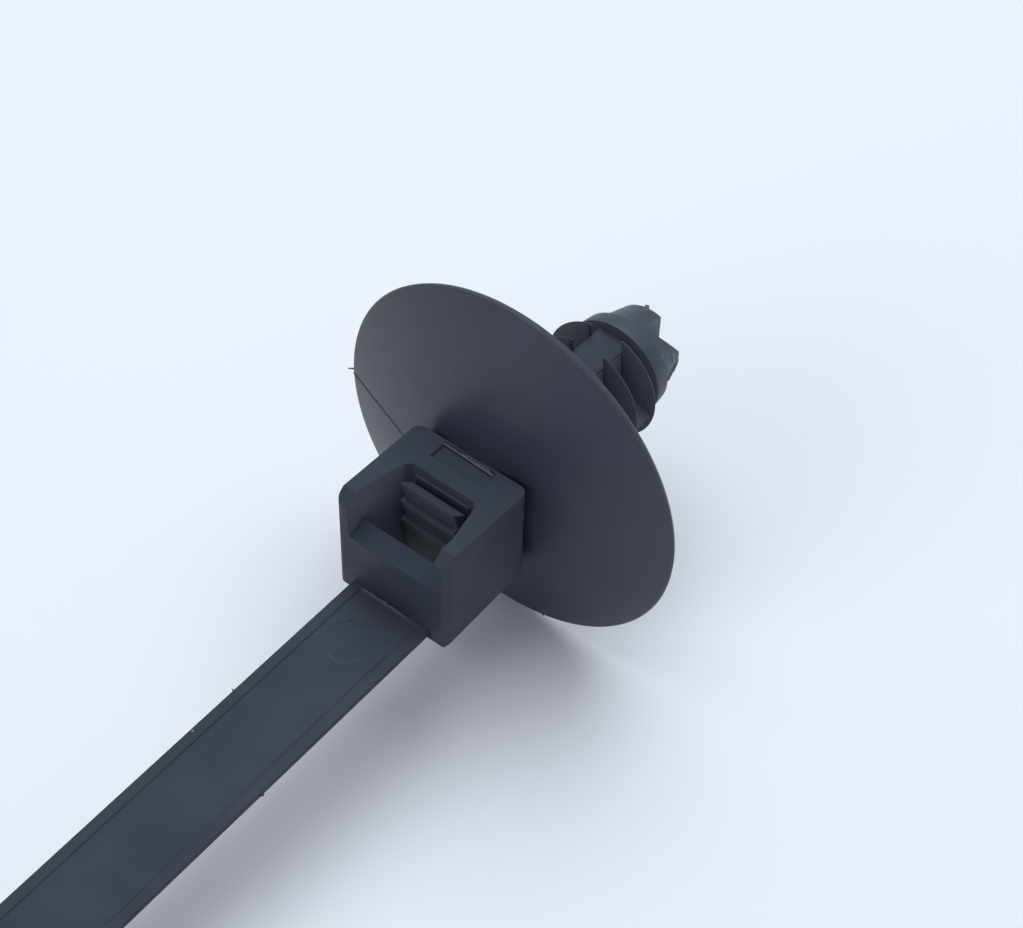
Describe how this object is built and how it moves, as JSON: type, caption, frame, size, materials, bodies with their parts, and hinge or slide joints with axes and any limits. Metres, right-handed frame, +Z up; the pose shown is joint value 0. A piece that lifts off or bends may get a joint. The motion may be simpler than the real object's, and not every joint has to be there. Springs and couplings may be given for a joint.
{
  "type": "fir tree mount cable tie",
  "caption": "Releaseless ratchet cable tie moulded in one piece with a conical disc and a finned fir tree stem that pushes into a panel hole.",
  "frame": {"origin": "centre of the disc's rim circle, where the panel's face bears", "axes": "+X along the stem towards the fir tree's tip, +Z up out of the ratchet slot, the strap runs towards -X"},
  "size_m": [0.1599, 0.02, 0.02],
  "materials": {
    "black_nylon": "fine satin moulded black nylon"
  },
  "bodies": {
    "root": {"cable_tie": "black_nylon"}
  },
  "joints": []
}
